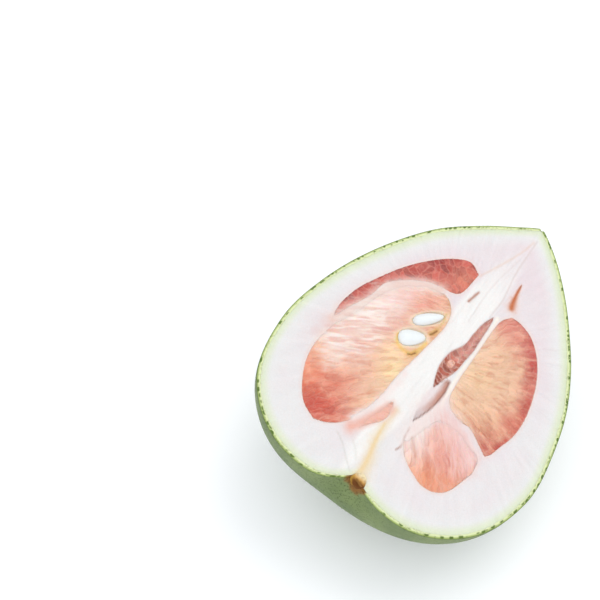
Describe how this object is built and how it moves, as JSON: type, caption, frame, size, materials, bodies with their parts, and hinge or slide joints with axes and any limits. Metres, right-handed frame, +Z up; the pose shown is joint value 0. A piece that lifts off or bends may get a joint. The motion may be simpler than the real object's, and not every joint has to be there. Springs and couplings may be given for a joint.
{
  "type": "pomelo half",
  "caption": "Half a pomelo cut from stem to tip, lying on its back: green rind, thick pale pith, pink pulp segments and seeds.",
  "frame": {"origin": "centre of the small flat spot on the rind that the half rests on", "axes": "+Z up, away from the surface it rests on; the cut face looks up, leaning towards -Y and +X; the fruit's stem-to-tip axis lies level and runs towards +X and +Y"},
  "size_m": [0.173, 0.1823, 0.0993],
  "materials": {
    "peel": "spongy white pith inside a finely pitted yellow-green rind",
    "pulp_orange": "moist juice sacs, orange-red to peach",
    "pulp_red": "moist juice sacs, deep red",
    "pulp_pink": "moist juice sacs, peach with a red edge",
    "pulp_salmon": "moist juice sacs under a thin pale membrane",
    "pulp_pale": "moist juice sacs, pale salmon",
    "seed": "smooth, slightly moist seed coat",
    "stem": "dry brown stem tissue"
  },
  "bodies": {
    "root": {"peel": "peel", "segment_large": "pulp_orange", "segment_upper": "pulp_red", "segment_right": "pulp_pink", "segment_lower": "pulp_salmon", "segment_sliver": "pulp_pale", "seed_long": "seed", "seed_round": "seed", "stem_remnant": "stem"}
  },
  "joints": []
}
